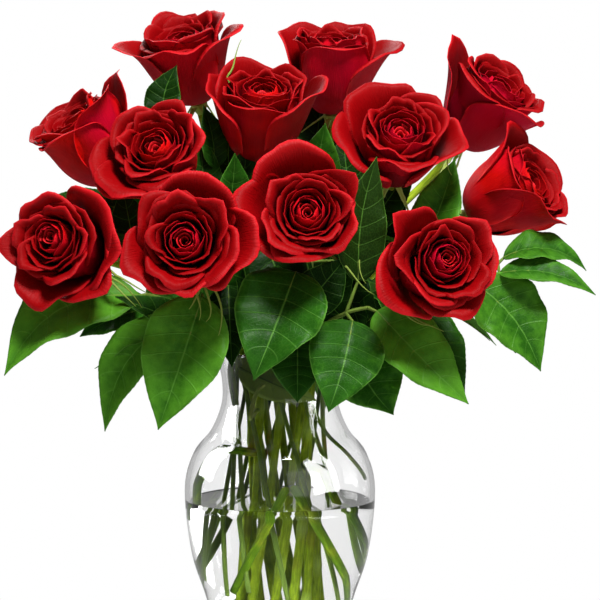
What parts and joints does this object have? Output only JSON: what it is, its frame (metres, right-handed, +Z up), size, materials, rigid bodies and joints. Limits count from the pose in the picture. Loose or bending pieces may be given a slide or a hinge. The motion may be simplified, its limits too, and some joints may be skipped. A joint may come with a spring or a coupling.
{
  "type": "roses in a vase",
  "caption": "Domed bouquet of long-stemmed roses with broad glossy leaves round a clear waisted glass vase, its stems standing crossed in water.",
  "frame": {"origin": "centre of the vase's flat foot, on the surface that it stands on", "axes": "+Z up along the vase's axis, -Y towards the front of the bouquet, +X to the right seen from the front"},
  "size_m": [0.3917, 0.2801, 0.4808],
  "materials": {
    "clear_glass": "clear polished glass, smooth and glossy",
    "water": "clear still water",
    "rose_petal": "velvety deep red petals with brighter rolled edges",
    "rose_green": "smooth fresh green stems, calyxes and sepals",
    "salal_leaf": "leathery glossy green leaves with pale ribs"
  },
  "bodies": {
    "root": {"vase": "clear_glass", "water": "water", "rose_bloom_01": "rose_petal", "rose_stem_01": "rose_green", "rose_bloom_02": "rose_petal", "rose_stem_02": "rose_green", "rose_bloom_03": "rose_petal", "rose_stem_03": "rose_green", "rose_bloom_04": "rose_petal", "rose_stem_04": "rose_green", "rose_bloom_05": "rose_petal", "rose_stem_05": "rose_green", "rose_bloom_06": "rose_petal", "rose_stem_06": "rose_green", "rose_bloom_07": "rose_petal", "rose_stem_07": "rose_green", "rose_bloom_08": "rose_petal", "rose_stem_08": "rose_green", "rose_bloom_09": "rose_petal", "rose_stem_09": "rose_green", "rose_bloom_10": "rose_petal", "rose_stem_10": "rose_green", "rose_bloom_11": "rose_petal", "rose_stem_11": "rose_green", "rose_bloom_12": "rose_petal", "rose_stem_12": "rose_green", "salal_spray_left": "salal_leaf", "salal_spray_front_left": "salal_leaf", "salal_spray_front": "salal_leaf", "salal_spray_front_right": "salal_leaf", "salal_spray_right": "salal_leaf", "salal_spray_back_right": "salal_leaf", "salal_spray_back": "salal_leaf", "salal_spray_back_left": "salal_leaf", "salal_spray_upper_left": "salal_leaf", "salal_spray_upper_back": "salal_leaf", "salal_spray_upper_back_left": "salal_leaf", "salal_spray_upper_back_right": "salal_leaf"}
  },
  "joints": []
}
